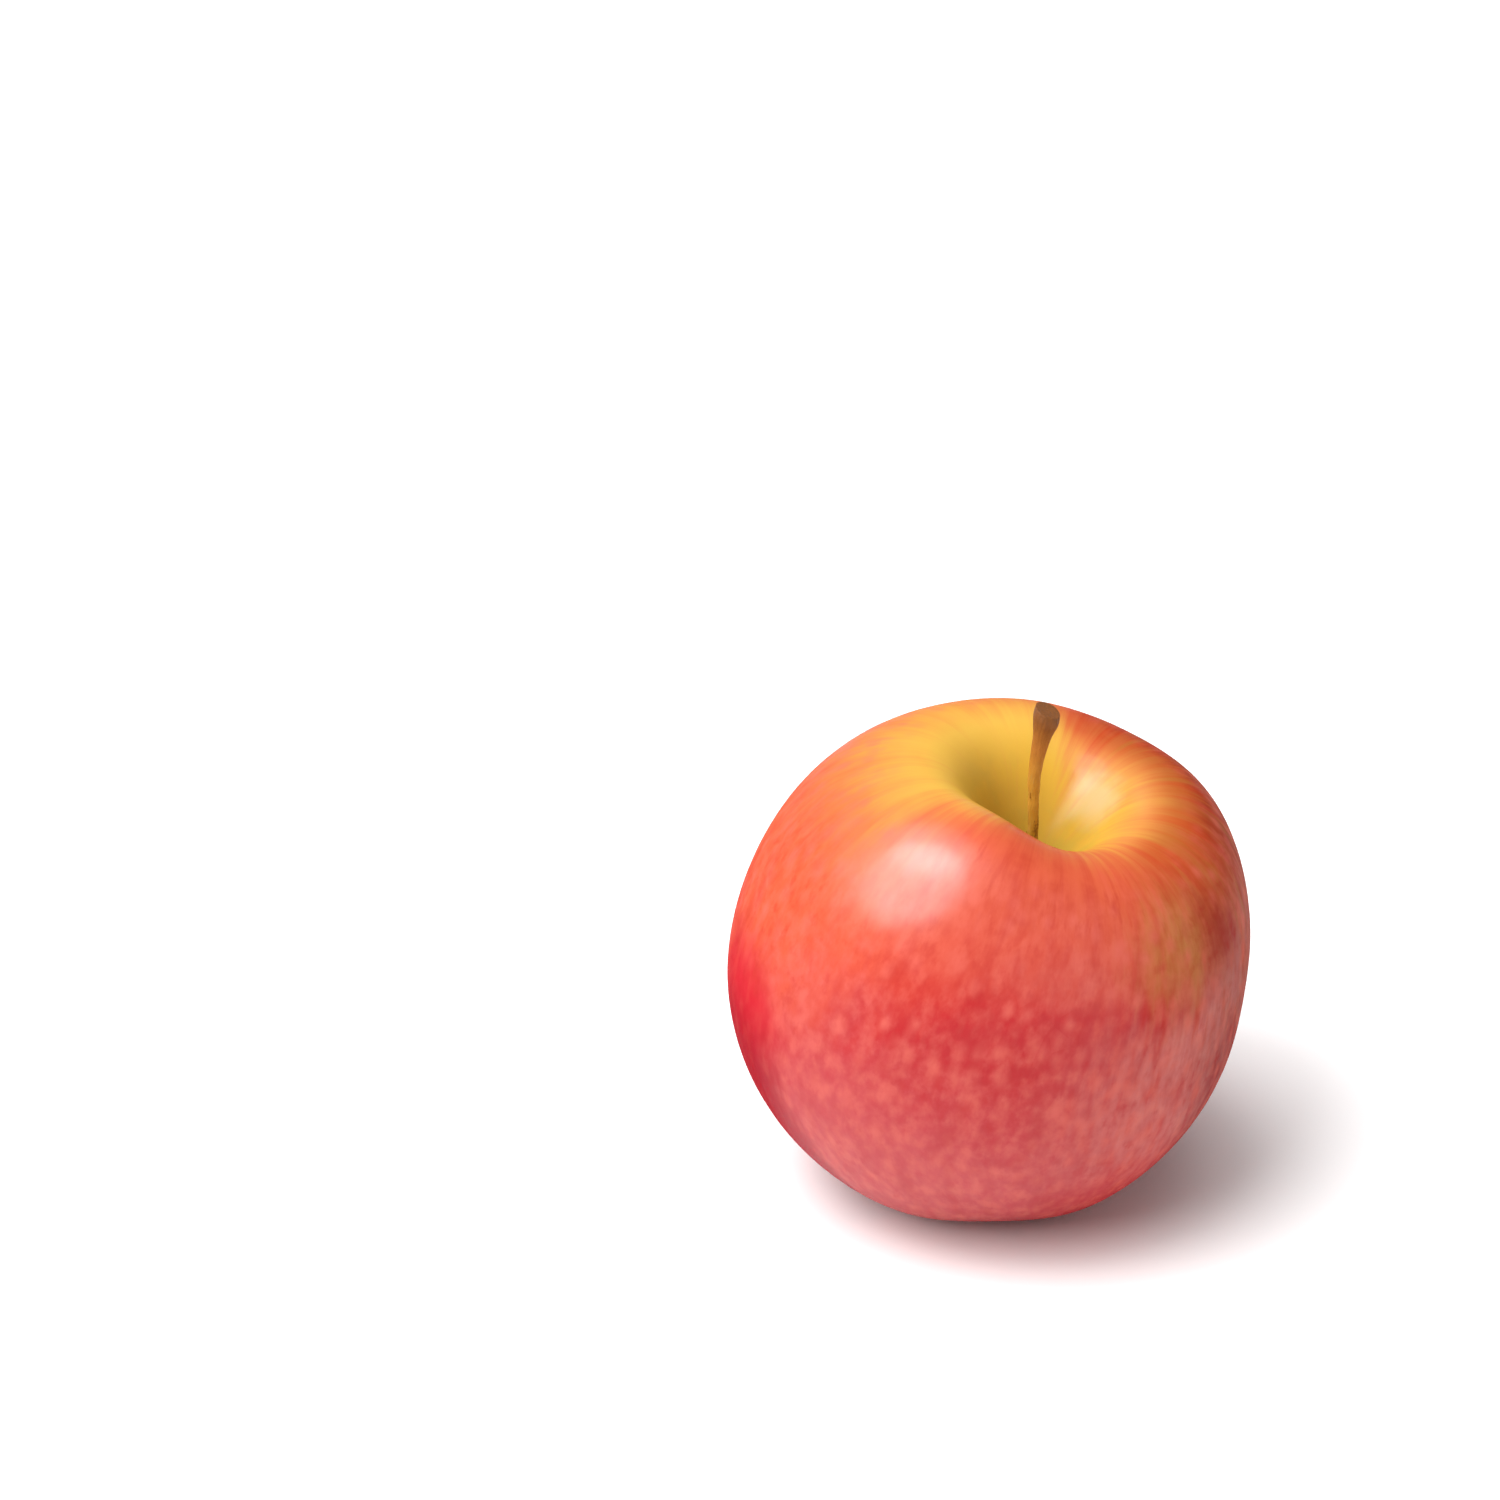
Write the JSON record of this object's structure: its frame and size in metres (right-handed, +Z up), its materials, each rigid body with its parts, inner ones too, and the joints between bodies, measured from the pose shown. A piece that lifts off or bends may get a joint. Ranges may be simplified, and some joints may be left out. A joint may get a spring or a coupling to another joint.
{
  "type": "apple",
  "caption": "Whole ripe apple with a leaning stem in its deep hollow, uneven shoulders and a dried calyx in the basin below.",
  "frame": {"origin": "on the ground, under the middle of the whole object's box", "axes": "+Z up, -Y towards the side where the rim of the hollow is swollen, +X to the side that the head leans to"},
  "size_m": [0.075, 0.073, 0.0768],
  "materials": {
    "fruit_skin": "smooth waxy skin, red over yellow, satin gloss",
    "stem_wood": "rough woody stem, dark at the cut end",
    "dried_calyx": "dry, matt and slightly fuzzy leaf",
    "dried_stamens": "dry matt threads"
  },
  "bodies": {
    "root": {"fruit": "fruit_skin", "stem": "stem_wood", "sepal_1": "dried_calyx", "sepal_2": "dried_calyx", "sepal_3": "dried_calyx", "sepal_4": "dried_calyx", "sepal_5": "dried_calyx", "stamen_tuft": "dried_stamens"}
  },
  "joints": []
}
